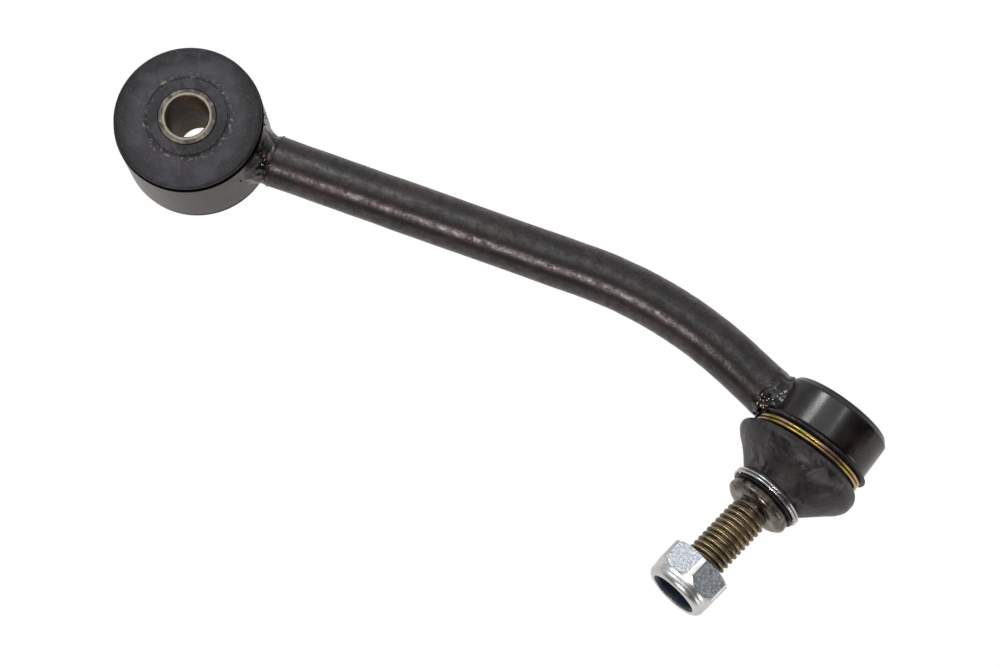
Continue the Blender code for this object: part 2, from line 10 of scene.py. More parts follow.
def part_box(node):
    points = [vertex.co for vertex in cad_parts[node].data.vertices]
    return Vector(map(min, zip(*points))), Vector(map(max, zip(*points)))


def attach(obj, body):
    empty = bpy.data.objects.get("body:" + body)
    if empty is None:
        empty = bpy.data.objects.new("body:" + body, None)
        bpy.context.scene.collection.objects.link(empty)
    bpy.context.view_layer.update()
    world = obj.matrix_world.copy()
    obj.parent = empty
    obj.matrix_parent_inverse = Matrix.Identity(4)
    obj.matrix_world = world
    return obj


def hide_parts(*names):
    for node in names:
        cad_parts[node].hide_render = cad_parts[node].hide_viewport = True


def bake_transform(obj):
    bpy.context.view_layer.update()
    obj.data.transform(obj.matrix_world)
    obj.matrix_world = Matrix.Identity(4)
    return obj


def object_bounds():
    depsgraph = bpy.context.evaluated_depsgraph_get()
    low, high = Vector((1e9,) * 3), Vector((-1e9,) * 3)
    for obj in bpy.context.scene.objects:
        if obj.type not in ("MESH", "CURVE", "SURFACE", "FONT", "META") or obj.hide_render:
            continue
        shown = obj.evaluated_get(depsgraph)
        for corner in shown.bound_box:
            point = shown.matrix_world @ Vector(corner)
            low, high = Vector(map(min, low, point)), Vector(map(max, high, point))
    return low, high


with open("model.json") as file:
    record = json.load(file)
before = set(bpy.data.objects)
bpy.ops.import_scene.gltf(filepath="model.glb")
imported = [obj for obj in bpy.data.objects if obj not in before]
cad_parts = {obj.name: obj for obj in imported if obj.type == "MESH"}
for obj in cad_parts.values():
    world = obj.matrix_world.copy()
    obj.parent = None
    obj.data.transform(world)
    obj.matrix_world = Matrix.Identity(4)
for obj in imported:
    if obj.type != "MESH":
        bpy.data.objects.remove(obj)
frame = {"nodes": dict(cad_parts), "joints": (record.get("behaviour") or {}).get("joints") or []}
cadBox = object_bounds()
print("frame loaded:", ", ".join(sorted(frame["nodes"])))

mm = 0.001     # the frame is in metres


# where things are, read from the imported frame

def jointNamed(name):
    return next(joint for joint in frame["joints"] if joint["name"] == name)


sleeveLow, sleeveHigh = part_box("bush_sleeve")
bushAt = (sleeveLow + sleeveHigh) / 2
ballAt = Vector(jointNamed("ball_swing_in")["pos_m"])
studAlong = Vector(jointNamed("stud_spin")["axis"]).normalized()
upward = Vector((0, 0, 1))
housingLean = math.radians(10.1)     # the cup's axis leans back from square to the link
housingAlong = Vector((-math.sin(housingLean), -math.cos(housingLean), 0))


def axesAt(point, sideways, along):
    # a frame at point whose Z runs along, for pieces turned about that line
    sideways = (sideways - along * sideways.dot(along)).normalized()
    return Matrix.Translation(point) @ Matrix((sideways, along.cross(sideways), along)).transposed().to_4x4()


bushAxes = Matrix.Translation(bushAt)
housingAxes = axesAt(ballAt, upward, housingAlong)
studAxes = axesAt(ballAt, upward, studAlong)


# mesh makers

def around(radius, turn, height=0.0):
    # a spot this far from the Z axis and this far round it, in radians
    return Vector((radius * math.cos(turn), radius * math.sin(turn), height))


def addObject(name, data):
    made = bpy.data.objects.new(name, data)
    bpy.context.scene.collection.objects.link(made)
    return made


def newPiece(name, builder, axes, finish, body, replaces=None, crease=38):
    # edges that turn by more than crease degrees are shaded sharp
    bmesh.ops.recalc_face_normals(builder, faces=builder.faces)
    mesh = bpy.data.meshes.new(name)
    builder.to_mesh(mesh)
    builder.free()
    mesh.shade_smooth()
    mesh.set_sharp_from_angle(angle=math.radians(crease))
    mesh.materials.append(finish)
    piece = addObject(name, mesh)
    piece.matrix_world = axes
    if body:
        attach(piece, body)
    if replaces:
        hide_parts(replaces)
    return piece


def ringOf(builder, radius, height, steps, place=None):
    ring = []
    for step in range(steps):
        turn = math.tau * step / steps
        size = radius(turn) if callable(radius) else radius
        spot = around(size, turn, height)
        ring.append(builder.verts.new(place(spot) if place else spot))
    return ring


def skinRings(builder, rings, closed):
    pairs = list(zip(rings, rings[1:]))
    if closed:
        pairs.append((rings[-1], rings[0]))
    for lower, upper in pairs:
        count = len(lower)
        for step in range(count):
            after = (step + 1) % count
            builder.faces.new((lower[step], lower[after], upper[after], upper[step]))
    if not closed:
        builder.faces.new(rings[0])
        builder.faces.new(rings[-1])


def turnedSolid(outline, steps, place=None, closed=True):
    builder = bmesh.new()
    skinRings(builder, [ringOf(builder, r * mm, h * mm, steps, place) for r, h in outline], closed)
    return builder


def mirrored(half):
    # the upper half of an outline, then its mirror image below
    return half + [(radius, -height) for radius, height in reversed(half)]


def arcOf(centreRadius, centreHeight, radius, start, end, steps):
    spots = []
    for step in range(steps + 1):
        angle = math.radians(start + (end - start) * step / steps)
        spots.append((centreRadius + radius * math.cos(angle), centreHeight + radius * math.sin(angle)))
    return spots


def smoothThrough(spots, between):
    # a smooth curve through every spot, so a turned outline has no corners
    found = []
    for index in range(len(spots) - 1):
        before = spots[max(index - 1, 0)]
        here, after = spots[index], spots[index + 1]
        beyond = spots[min(index + 2, len(spots) - 1)]
        for step in range(between):
            t = step / between
            found.append(tuple(
                0.5 * (2 * b + (c - a) * t + (2 * a - 5 * b + 4 * c - d) * t * t
                       + (3 * b - a - 3 * c + d) * t ** 3)
                for a, b, c, d in zip(before, here, after, beyond)
            ))
    found.append(spots[-1])
    return found


def sweptAlong(path, radius, sides, firstNormal):
    builder = bmesh.new()
    normal = Vector(firstNormal)
    rings = []
    for index, spot in enumerate(path):
        before, after = path[max(index - 1, 0)], path[min(index + 1, len(path) - 1)]
        along = (after - before).normalized()
        normal = (normal - along * normal.dot(along)).normalized()
        side = along.cross(normal)
        size = radius(index / (len(path) - 1)) if callable(radius) else radius
        ring = []
        for step in range(sides):
            turn = math.tau * step / sides
            ring.append(builder.verts.new(spot + (normal * math.cos(turn) + side * math.sin(turn)) * size))
        rings.append(ring)
    skinRings(builder, rings, closed=False)
    return builder


# material makers

def linear(channel):
    # from an sRGB channel to linear light
    return channel / 12.92 if channel <= 0.04045 else ((channel + 0.055) / 1.055) ** 2.4


def colour(hexCode):
    return [linear(int(hexCode[i:i + 2], 16) / 255) for i in (1, 3, 5)] + [1.0]


def perMm(size):
    return 1000 / size     # a texture's scale for a pattern this many millimetres wide


def addNode(tree, kind, settings=None, links=None):
    node = tree.nodes.new(kind)
    for key, value in (settings or {}).items():
        if key in node.inputs:
            node.inputs[key].default_value = value
        else:
            setattr(node, key, value)
    for key, source in (links or {}).items():
        tree.links.new(source, node.inputs[key])
    return node


def newFinish(name, base, roughness, metallic=0.0, **more):
    material = bpy.data.materials.new(name)
    material.use_nodes = True
    tree = material.node_tree
    shader = tree.nodes["Principled BSDF"]
    shader.inputs["Base Color"].default_value = colour(base)
    shader.inputs["Roughness"].default_value = roughness
    shader.inputs["Metallic"].default_value = metallic
    for key, value in more.items():
        shader.inputs[key.replace("_", " ")].default_value = value
    material.diffuse_color = colour(base)
    where = addNode(tree, "ShaderNodeTexCoord").outputs["Object"]
    return material, tree, shader, where


def stops(tree, factor, *pairs):
    ramp = addNode(tree, "ShaderNodeValToRGB", links={"Fac": factor})
    band = ramp.color_ramp
    while len(band.elements) < len(pairs):
        band.elements.new(0.5)
    for element, (place, shade) in zip(band.elements, pairs):
        element.position = place
        element.color = colour(shade) if isinstance(shade, str) else [shade, shade, shade, 1.0]
    return ramp.outputs["Color"]


def grainOf(tree, where, size, detail=4.0, rough=0.55, distortion=0.0):
    return addNode(tree, "ShaderNodeTexNoise",
                   {"Scale": perMm(size), "Detail": detail, "Roughness": rough, "Distortion": distortion},
                   {"Vector": where}).outputs["Fac"]


def wavesOf(tree, where, size, settings):
    # light and dark stripes, each size millimetres wide: at scale 1 there are 6.3 to a unit
    return addNode(tree, "ShaderNodeTexWave", {"Scale": perMm(size) / 6.3, **settings},
                   {"Vector": where}).outputs["Fac"]


def stretched(tree, where, scale, shift=(0.0, 0.0, 0.0)):
    return addNode(tree, "ShaderNodeMapping", {"Scale": scale, "Location": shift},
                   {"Vector": where}).outputs["Vector"]


def alongLine(tree, where, line):
    node = addNode(tree, "ShaderNodeVectorMath", {"operation": "DOT_PRODUCT"}, {0: where})
    node.inputs[1].default_value = line
    return node.outputs["Value"]


def mixed(tree, factor, first, second):
    node = addNode(tree, "ShaderNodeMix", {"data_type": "RGBA"})
    sockets = (node.inputs["Factor"], node.inputs[6], node.inputs[7])     # 6 and 7 are its two colours
    for socket, source in zip(sockets, (factor, first, second)):
        if isinstance(source, (int, float)):
            socket.default_value = source if socket.type == "VALUE" else (source, source, source, 1.0)
        elif isinstance(source, str):
            socket.default_value = colour(source)
        elif isinstance(source, tuple):
            socket.default_value = source
        else:
            tree.links.new(source, socket)
    return node.outputs[2]


def reckon(tree, operation, *values):
    node = addNode(tree, "ShaderNodeMath", {"operation": operation})
    for socket, value in zip(node.inputs, values):
        if isinstance(value, (int, float)):
            socket.default_value = value
        else:
            tree.links.new(value, socket)
    return node.outputs[0]


def times(tree, first, second):
    return reckon(tree, "MULTIPLY", first, second)


def addBumps(tree, shader, *layers):
    normal = None
    for height, distance in layers:
        node = addNode(tree, "ShaderNodeBump", {"Strength": 1.0, "Distance": distance * mm}, {"Height": height})
        if normal:
            tree.links.new(normal, node.inputs["Normal"])
        normal = node.outputs["Normal"]
    tree.links.new(normal, shader.inputs["Normal"])


def wire(tree, source, shader, name):
    tree.links.new(source, shader.inputs[name])


def fromAxis(tree, where):
    # how far a point is from its piece's own axis, and how far along it
    x, y, z = addNode(tree, "ShaderNodeSeparateXYZ", links={"Vector": where}).outputs
    return reckon(tree, "SQRT", reckon(tree, "ADD", times(tree, x, x), times(tree, y, y))), z


def bandAround(tree, value, middle, width):
    # 1 at middle, falling to 0 at half the width away
    away = reckon(tree, "ABSOLUTE", reckon(tree, "SUBTRACT", value, middle * mm))
    share = reckon(tree, "MINIMUM", reckon(tree, "DIVIDE", away, width * mm / 2), 1.0)
    return reckon(tree, "SUBTRACT", 1.0, share)


print("materials")


def electrocoat(name, base, light, dark, roughness, relief, shine, flangeShadeFrom=None):
    # Steel, dip coated black and stoved: a thin satin film over hot-rolled skin, so its
    # shine breaks into grains and brown patches where it is rubbed or dusty.
    material, tree, shader, where = newFinish(name, base, roughness, Specular_IOR_Level=0.5)
    cloud = grainOf(tree, where, 8.0, 5.0, 0.62, 0.6)
    patch = grainOf(tree, where, 2.2, 6.0, 0.72, 0.4)
    skin = grainOf(tree, where, 0.7, 4.0, 0.68)
    fine = grainOf(tree, where, 0.3, 2.0, 0.6)
    tone = stops(tree, cloud, (0.40, dark), (0.50, base), (0.60, light))
    rubbed = stops(tree, patch, (0.50, 0.0), (0.62, 1.0))
    tone = mixed(tree, times(tree, rubbed, 0.4 * relief), tone, light)
    tone = mixed(tree, stops(tree, patch, (0.36, 0.55 * relief), (0.44, 0.0)), tone, "#080606")
    grains = reckon(tree, "ADD", times(tree, patch, 0.6), times(tree, skin, 0.4))
    dull = stops(tree, grains, (0.40, roughness - 0.05 * relief), (0.60, roughness + 0.16 * relief))
    glint = stops(tree, grains, (0.40, shine + 0.25 * relief), (0.60, shine - 0.2 * relief))
    if flangeShadeFrom:
        # painted shade: both rims go matt black from this many millimetres off the middle, where the rubber's
        # flange shades the tube
        span = 10     # millimetres that the ramp covers
        height = reckon(tree, "DIVIDE", reckon(tree, "ABSOLUTE", fromAxis(tree, where)[1]), span * mm)
        flangeShade = stops(tree, height, (flangeShadeFrom / span, 0.0), (flangeShadeFrom / span + 0.02, 1.0))
        tone = mixed(tree, flangeShade, tone, "#030202")
        dull = mixed(tree, flangeShade, dull, 0.8)
        glint = mixed(tree, flangeShade, glint, 0.05)
    wire(tree, tone, shader, "Base Color")
    wire(tree, dull, shader, "Roughness")
    wire(tree, glint, shader, "Specular IOR Level")
    addBumps(tree, shader, (cloud, 0.08 * relief), (patch, 0.055 * relief), (skin, 0.04 * relief),
             (fine, 0.006))
    return material


def housingPaint():
    # Turned steel cup under the same black film, smoother and glossier, with faint
    # upright streaks from the turning and a few specks of grit caught in the coat.
    material, tree, shader, where = newFinish("stovedBlackCup", "#120e0f", 0.28, Specular_IOR_Level=0.45)
    streak = grainOf(tree, stretched(tree, where, (1.0, 1.0, 0.12)), 1.3, 4.0, 0.6)
    cloud = grainOf(tree, where, 6.0, 4.0, 0.6)
    grit = addNode(tree, "ShaderNodeTexVoronoi", {"Scale": perMm(2.4)}, {"Vector": where})
    speck = stops(tree, grit.outputs["Distance"], (0.0, 1.0), (0.09, 0.0))
    film = stops(tree, cloud, (0.40, "#0c0706"), (0.60, "#1d1210"))
    wire(tree, mixed(tree, times(tree, speck, 0.25), film, "#5b504a"), shader, "Base Color")
    grains = reckon(tree, "ADD", times(tree, streak, 0.6), times(tree, cloud, 0.4))
    wire(tree, stops(tree, grains, (0.40, 0.18), (0.60, 0.30)), shader, "Roughness")
    addBumps(tree, shader, (streak, 0.010), (cloud, 0.03), (speck, 0.03))
    return material


def weldCoat():
    # Arc weld metal under the black dip, where the coat pooled thick: nearly wet looking,
    # with brown glints where it is thin on the ripples.
    material, tree, shader, where = newFinish("dippedWeldBead", "#0e0b0a", 0.26, Specular_IOR_Level=0.5)
    lumps = grainOf(tree, where, 2.4, 2.0, 0.45, 0.6)
    pits = grainOf(tree, where, 0.8, 1.0, 0.5)
    film = stops(tree, lumps, (0.35, "#050303"), (0.55, "#0d0807"), (0.70, "#3d2a1c"))
    wire(tree, film, shader, "Base Color")
    wire(tree, stops(tree, pits, (0.35, 0.14), (0.7, 0.28)), shader, "Roughness")
    addBumps(tree, shader, (lumps, 0.26), (pits, 0.09))
    return material


def bushMoulding():
    # Natural rubber, moulded round its sleeve: matt blue-grey black with bloom on the
    # dished face, painted shade on the rolled edge, and torn flash round the hub's groove.
    material, tree, shader, where = newFinish("mouldedNaturalRubber", "#242328", 0.62, Specular_IOR_Level=0.36,
                                              Sheen_Weight=0.06, Sheen_Roughness=0.5)
    rim, groove, dished = 18.4, 10.55, 12.5     # radii in millimetres
    radius = fromAxis(tree, where)[0]
    cloud = grainOf(tree, where, 6.5, 6.0, 0.62, 0.5)
    skin = grainOf(tree, where, 1.1, 5.0, 0.70)
    fine = grainOf(tree, where, 0.25, 2.0, 0.5)
    bloom = bandAround(tree, radius, dished, 6.0)
    edge = stops(tree, reckon(tree, "DIVIDE", radius, rim * mm), (0.78, 0.0), (0.94, 1.0))
    # painted shade: the rolled edge is darkest at both ends of this line, left and right as the camera sees it
    across = reckon(tree, "ABSOLUTE", alongLine(tree, where, (0.89, 0.46, 0.0)))
    shadedEnds = stops(tree, reckon(tree, "DIVIDE", across, rim * mm), (0.45, 0.25), (0.85, 1.0))
    tone = stops(tree, cloud, (0.41, "#131114"), (0.50, "#212024"), (0.59, "#3a393e"))
    mould = wavesOf(tree, where, 3.4, {"wave_type": "RINGS", "rings_direction": "Z", "Distortion": 1.6,
                                       "Detail": 2.0, "Detail Scale": 1.5})
    tone = mixed(tree, times(tree, mould, 0.16), tone, "#46454b")
    tone = mixed(tree, times(tree, bloom, 0.50), tone, "#4b494d")
    # painted shade on the rolled edge, deepest at the shaded ends
    tone = mixed(tree, times(tree, times(tree, edge, shadedEnds), 0.95), tone, "#0a0809")
    torn = reckon(tree, "POWER", bandAround(tree, radius, groove, 3.0), 1.6)
    flash = stops(tree, grainOf(tree, where, 0.7, 2.0, 0.5), (0.55, 0.0), (0.63, 1.0))
    crumbs = times(tree, flash, torn)
    dusty = stops(tree, grainOf(tree, where, 0.45, 2.0, 0.5), (0.64, 0.0), (0.74, 1.0))
    tone = mixed(tree, times(tree, dusty, 0.45), tone, "#77736f")
    wire(tree, mixed(tree, times(tree, crumbs, 0.85), tone, "#8c8984"), shader, "Base Color")
    wire(tree, stops(tree, cloud, (0.3, 0.50), (0.7, 0.70)), shader, "Roughness")
    addBumps(tree, shader, (cloud, 0.45), (skin, 0.16), (crumbs, 0.22), (fine, 0.012))
    return material


def bootMoulding():
    # Chloroprene boot, moulded thin: softer and greyer than the bush, with fold marks
    # and thumb smudges left by fitting grease.
    material, tree, shader, where = newFinish("mouldedChloroprene", "#1e1c1e", 0.55, Specular_IOR_Level=0.40,
                                              Sheen_Weight=0.05, Sheen_Roughness=0.5)
    cloud = grainOf(tree, where, 8.0, 4.0, 0.55, 0.5)
    smeared = stretched(tree, where, (1.0, 0.55, 1.3), (0.004, 0.009, 0.002))
    smudge = grainOf(tree, smeared, 3.0, 5.0, 0.68, 0.9)
    fine = grainOf(tree, where, 0.28, 3.0, 0.55)
    tone = stops(tree, cloud, (0.40, "#1b1718"), (0.50, "#2c2729"), (0.60, "#494345"))
    smudged = mixed(tree, stops(tree, smudge, (0.50, 0.0), (0.54, 0.95)), tone, "#060505")
    wire(tree, smudged, shader, "Base Color")
    wire(tree, stops(tree, smudge, (0.45, 0.58), (0.60, 0.40)), shader, "Roughness")
    addBumps(tree, shader, (cloud, 0.50), (smudge, 0.04), (fine, 0.012))
    return material


def sleevePlate():
    # Drawn steel tube in an old yellow-olive zinc passivate: dull bronze, with fine
    # reamer rings down the bore and the film worn to grey on the faced ends.
    material, tree, shader, where = newFinish("olivePassivatedTube", "#8d8170", 0.40, 1.0,
                                              Specular_Tint=colour("#94703f"))
    halfLength, holeRidgeHighlight = 12.2, 5.75     # millimetres up to the faced end, and out to a painted highlight round its hole
    radius, height = fromAxis(tree, where)
    rings = wavesOf(tree, where, 0.9, {"wave_type": "BANDS", "bands_direction": "Z", "Distortion": 3.0,
                                       "Detail": 3.0, "Detail Scale": 2.0})
    cloud = grainOf(tree, where, 3.0, 5.0, 0.65, 0.6)
    up = reckon(tree, "DIVIDE", reckon(tree, "ABSOLUTE", height), halfLength * mm)
    endFace = stops(tree, up, (0.975, 0.0), (0.995, 1.0))
    film = stops(tree, cloud, (0.36, "#22140b"), (0.48, "#3f2c19"), (0.56, "#554225"), (0.66, "#705a33"))
    worn = stops(tree, cloud, (0.38, "#3c3834"), (0.50, "#5a554f"), (0.64, "#7c766c"))
    # painted highlight: a pale ring on the ridge round the hole, on the faced ends
    worn = mixed(tree, times(tree, bandAround(tree, radius, holeRidgeHighlight, 0.9), 0.7), worn, "#a39b8e")
    wire(tree, mixed(tree, endFace, film, worn), shader, "Base Color")
    boreDull = stops(tree, cloud, (0.3, 0.42), (0.7, 0.60))
    wire(tree, mixed(tree, endFace, boreDull, 0.52), shader, "Roughness")
    wire(tree, stops(tree, endFace, (0.0, 0.30), (1.0, 1.0)), shader, "Metallic")
    addBumps(tree, shader, (rings, 0.012), (cloud, 0.09))
    return material


def studSteel():
    # Cold-forged alloy steel, phosphated and oiled: brown-black in the roots, rubbed to
    # old gold on the thread's crests and to grey on the collar's barrel. The crests' gold is
    # partly a painted highlight, and a thin pale line along each root is a painted highlight.
    material, tree, shader, where = newFinish("oiledPhosphateSteel", "#5d5448", 0.38, 1.0)
    radius, height = fromAxis(tree, where)
    cloud = grainOf(tree, where, 2.6, 5.0, 0.62, 0.5)
    fine = grainOf(tree, where, 0.3, 3.0, 0.6)
    span = 50     # millimetres along the stud that the ramp covers
    up = reckon(tree, "DIVIDE", height, span * mm)
    onThread = stops(tree, up, (21.6 / span, 0.0), (22.0 / span, 1.0))
    # the crests: rubbed gold, partly a painted highlight along each crest
    crest = bandAround(tree, radius, 4.935, 0.09)
    # painted highlight: a thin pale line along the bottom of each root
    root = times(tree, bandAround(tree, radius, 4.08, 0.16), 0.75)
    barrel = stops(tree, cloud, (0.38, "#46403b"), (0.50, "#625b55"), (0.62, "#80796f"))
    flank = stops(tree, cloud, (0.38, "#33251a"), (0.50, "#54422b"), (0.62, "#6b5739"))
    rubbed = stops(tree, cloud, (0.3, "#8f7f63"), (0.7, "#b8a986"))
    # painted highlights on crests and roots, over the brown flanks
    threadTonesAndHighlights = mixed(tree, crest, mixed(tree, root, flank, "#9c8d72"), rubbed)
    wire(tree, mixed(tree, onThread, barrel, threadTonesAndHighlights), shader, "Base Color")
    dulled = times(tree, onThread, reckon(tree, "SUBTRACT", 1.0, crest))
    wire(tree, reckon(tree, "SUBTRACT", 1.0, times(tree, dulled, 0.75)), shader, "Metallic")
    barrelDull = stops(tree, cloud, (0.3, 0.20), (0.7, 0.36))
    threadDull = stops(tree, cloud, (0.3, 0.30), (0.7, 0.50))
    wire(tree, mixed(tree, onThread, barrelDull, threadDull), shader, "Roughness")
    addBumps(tree, shader, (cloud, 0.025), (fine, 0.012))
    return material


def drawnWire(name, base, roughness, size, film=()):
    material, tree, shader, where = newFinish(name, base, roughness, 1.0)
    if film:
        wire(tree, stops(tree, grainOf(tree, where, 5.5, 2.0, 0.5, 0.3), *film), shader, "Base Color")
    drawn = grainOf(tree, where, size, 3.0, 0.6)
    wire(tree, stops(tree, drawn, (0.3, roughness), (0.7, roughness + 0.10)), shader, "Roughness")
    addBumps(tree, shader, (drawn, 0.006))
    return material


def nutZinc():
    # Carbon-steel nut in bright zinc: the pressed flats carry a frosted blue-grey mottle,
    # the turned chamfers and collar stay smooth and silver-white.
    material, tree, shader, where = newFinish("blueZincPlate", "#b4b7ba", 0.34, 1.0)
    flats = addNode(tree, "ShaderNodeAttribute", {"attribute_name": "flatPart"}).outputs["Fac"]
    mottle = grainOf(tree, stretched(tree, where, (1.0, 1.0, 1.9)), 0.8, 5.0, 0.75, 0.4)
    frost = grainOf(tree, where, 0.35, 4.0, 0.7)
    crystal = stops(tree, mottle, (0.38, "#7b8188"), (0.50, "#a3a8ad"), (0.62, "#cdd0d2"))
    smooth = stops(tree, grainOf(tree, where, 3.0, 3.0, 0.5), (0.3, "#c4c5c3"), (0.7, "#dadbd8"))
    wire(tree, mixed(tree, flats, smooth, crystal), shader, "Base Color")
    smoothDull = stops(tree, mottle, (0.3, 0.29), (0.7, 0.39))
    flatDull = stops(tree, mottle, (0.3, 0.36), (0.7, 0.54))
    wire(tree, mixed(tree, flats, smoothDull, flatDull), shader, "Roughness")
    addBumps(tree, shader, (times(tree, mottle, flats), 0.05), (times(tree, frost, flats), 0.012))
    return material


def waxyPlastic(name, base, low, high, roughness, size, scatter, depth):
    material, tree, shader, where = newFinish(name, base, roughness, Subsurface_Weight=scatter,
                                              Subsurface_Scale=depth * mm)
    soft = grainOf(tree, where, size, 3.0, 0.5)
    wire(tree, stops(tree, soft, (0.3, low), (0.7, high)), shader, "Base Color")
    addBumps(tree, shader, (soft, 0.03))
    return material


# the tube's rims get a painted shade line where the rubber's flanges overhang them
eyePaint = electrocoat("electrocoatOnTube", "#231a17", "#2a201c", "#1b1411", roughness=0.30, relief=0.12,
                       shine=0.22, flangeShadeFrom=8.95)
barPaint = electrocoat("electrocoatOnBar", "#190f0e", "#281a18", "#0f0908", roughness=0.32, relief=0.85,
                       shine=0.50)
cupPaint = housingPaint()
weldPaint = weldCoat()
bushRubberFinish = bushMoulding()
bootRubberFinish = bootMoulding()
sleeveFinish = sleevePlate()
studFinish = studSteel()
# Hard-drawn wire in yellow chromated zinc: gold, slipping to green and rose as the film's
# thickness changes round the ring.
clampFinish = drawnWire("yellowChromatedWire", "#a58a4c", 0.26, 1.6, [
    (0.36, "#7f8a48"), (0.46, "#a3954f"), (0.55, "#a89055"), (0.64, "#c6a193"), (0.74, "#98884a")])
# Stainless spring wire, drawn bright: nearly mirror-like, so it reads as thin white lines
# against the rubber.
neckRingFinish = drawnWire("brightDrawnWire", "#b4b4b3", 0.20, 1.8)
nutFinish = nutZinc()
# Nylon 6, dyed blue and pressed into the collar: smooth and slightly waxy, near black down the hole.
nylonFinish = waxyPlastic("dyedNylon", "#0a1320", "#061224", "#0e2340", roughness=0.55, size=2.0,
                          scatter=0.02, depth=0.8)
# Acetal bearing shell, injection moulded: ivory and slightly greasy.
acetalFinish = waxyPlastic("mouldedAcetal", "#d9d5c8", "#cfcabb", "#e2dfd4", roughness=0.36, size=3.0,
                           scatter=0.08, depth=1.0)

print("bush end")

# sizes in each dictionary are millimetres and angles are degrees, unless a note says otherwise
eyeTube = {"outer": 18.4, "wall": 3.0, "width": 19.0, "edge": 0.45, "hold": 0.25, "steps": 224}


def makeEye():
    half, edge = eyeTube["width"] / 2, eyeTube["edge"]
    outer, inner = eyeTube["outer"], eyeTube["outer"] - eyeTube["wall"]
    top = [(outer, half - edge - eyeTube["hold"])] + arcOf(outer - edge, half - edge, edge, 0, 90, 5)
    top += arcOf(inner + edge, half - edge, edge, 90, 180, 5)
    newPiece("bushEye", turnedSolid(mirrored(top), eyeTube["steps"]), bushAxes, eyePaint, "link", "bush_eye")


bushMould = {
    "face": [(7.16, 11.80), (7.31, 11.95), (9.45, 11.95), (9.70, 11.85), (9.87, 11.33), (10.15, 11.33),
             (10.45, 11.59)],
    "dish": [(10.85, 11.53), (12.0, 11.38), (13.3, 11.14), (14.6, 11.08), (15.9, 11.18), (17.41, 11.30)],
    "rim": (17.41, 10.62, 0.74), "under": [(17.21, 9.88), (15.6, 9.98), (15.0, 9.38)], "steps": 224,
}


def makeBushRubber():
    half = bushMould["face"] + smoothThrough(bushMould["dish"], 5)
    half += arcOf(*bushMould["rim"], 88, -62, 14) + bushMould["under"]
    newPiece("bushRubber", turnedSolid(mirrored(half), bushMould["steps"]), bushAxes, bushRubberFinish,
             "link", "bush_rubber")


sleeveTube = {"outline": [(7.1, 12.08), (6.98, 12.2), (5.53, 12.2), (5.25, 11.92)], "steps": 160}


def makeSleeve():
    builder = turnedSolid(mirrored(sleeveTube["outline"]), sleeveTube["steps"])
    newPiece("bushSleeve", builder, bushAxes, sleeveFinish, "sleeve", "bush_sleeve")


makeEye()
makeBushRubber()
makeSleeve()

print("bar and welds")

# each leg leans from the line between the centres; start and stop are how far the bar's ends are from them
barForm = {"centres": 170.5, "radius": 6.35, "bushLeg": 6.7, "ballLeg": 17.5, "bend": 104.0, "start": 21.1,
           "stop": 16.2, "chamfer": 0.45, "wobble": 0.012, "wobbles": 30, "legSteps": 50, "bendSteps": 60,
           "stopSteps": 12, "sides": 96}
barFar = bushAt + Vector((barForm["centres"] * mm, 0, 0))
firstLeg = around(1, math.radians(barForm["bushLeg"]))
lastLeg = around(1, -math.radians(barForm["ballLeg"]))


def barLine():
    rise, fall = (math.tan(math.radians(barForm[leg])) for leg in ("bushLeg", "ballLeg"))
    reach = barForm["centres"] * fall / (rise + fall)
    corner = Vector((reach, reach * rise, 0))
    swing = math.radians(barForm["bushLeg"] + barForm["ballLeg"])
    bendStart = corner - firstLeg * barForm["bend"] * math.tan(swing / 2)
    bendCentre = bendStart + Vector((firstLeg.y, -firstLeg.x, 0)) * barForm["bend"]
    path = [firstLeg * barForm["start"], firstLeg * (barForm["start"] + barForm["chamfer"])]
    length = (bendStart - path[-1]).length
    steps = barForm["legSteps"]
    path += [path[-1] + firstLeg * length * step / steps for step in range(1, steps)]
    steps = barForm["bendSteps"]
    for step in range(steps + 1):
        turned = Matrix.Rotation(-swing * step / steps, 3, "Z")
        path.append(bendCentre + turned @ (bendStart - bendCentre))
    run = Vector((barForm["centres"], 0, 0)) - lastLeg * barForm["stop"] - path[-1]
    steps = barForm["stopSteps"]
    path += [path[-1] + run * step / steps for step in range(1, steps + 1)]
    return [bushAt + spot * mm for spot in path]


def makeBar():
    path = barLine()
    chamfered = 1 - barForm["chamfer"] / barForm["radius"]

    def radiusAt(share):
        wobble = barForm["wobble"] * noise.noise(Vector((share * barForm["wobbles"], 0.3, 0)))
        return barForm["radius"] * mm * ((chamfered if share == 0 else 1) + wobble)

    builder = sweptAlong(path, radiusAt, barForm["sides"], upward)
    newPiece("linkBar", builder, Matrix.Identity(4), barPaint, "link", "link_bar")


def reachOf(spot, direction, centre, axis, radius):
    # how far along direction a line from spot leaves a round piece
    across = spot - centre
    across -= axis * across.dot(axis)
    flat = direction - axis * direction.dot(axis)
    a, b, c = flat.dot(flat), 2 * across.dot(flat), across.dot(across) - radius * radius
    return (-b + math.sqrt(max(b * b - 4 * a * c, 0))) / (2 * a)


cupForm = {"radius": 13.8, "rim": -10.9, "shoulder": -0.7, "steps": 200}

# foot, waist and end are the bead's radii, and neck is the share of its length where it is at its waist;
# rough is the side the torch came last, and calm is how lumpy the side opposite is
eyeWeldForm = {"foot": 8.7, "slim": 1.3, "waist": 6.0, "neck": 0.62, "end": 6.42, "top": 22.3, "ridge": 0.25,
               "ragged": 0.25, "lumps": 0.95, "lumpSize": 2.2, "rough": 90, "calm": 0.4, "swell": 1.2,
               "byBoot": False}
cupWeldForm = {"foot": 7.3, "slim": 0.0, "waist": 6.35, "neck": 0.35, "end": 6.42, "top": 17.3, "ridge": 0.0,
               "ragged": 1.5, "lumps": 0.85, "lumpSize": 2.1, "rough": 140, "calm": 0.12, "swell": 0.6,
               "byBoot": True}
beadForm = {"ripple": 0.35, "flare": 1.6, "widen": 0.7, "ridgeAt": 0.9, "ridgeWidth": 0.045, "buried": 3,
            "steps": 144, "rows": 44}


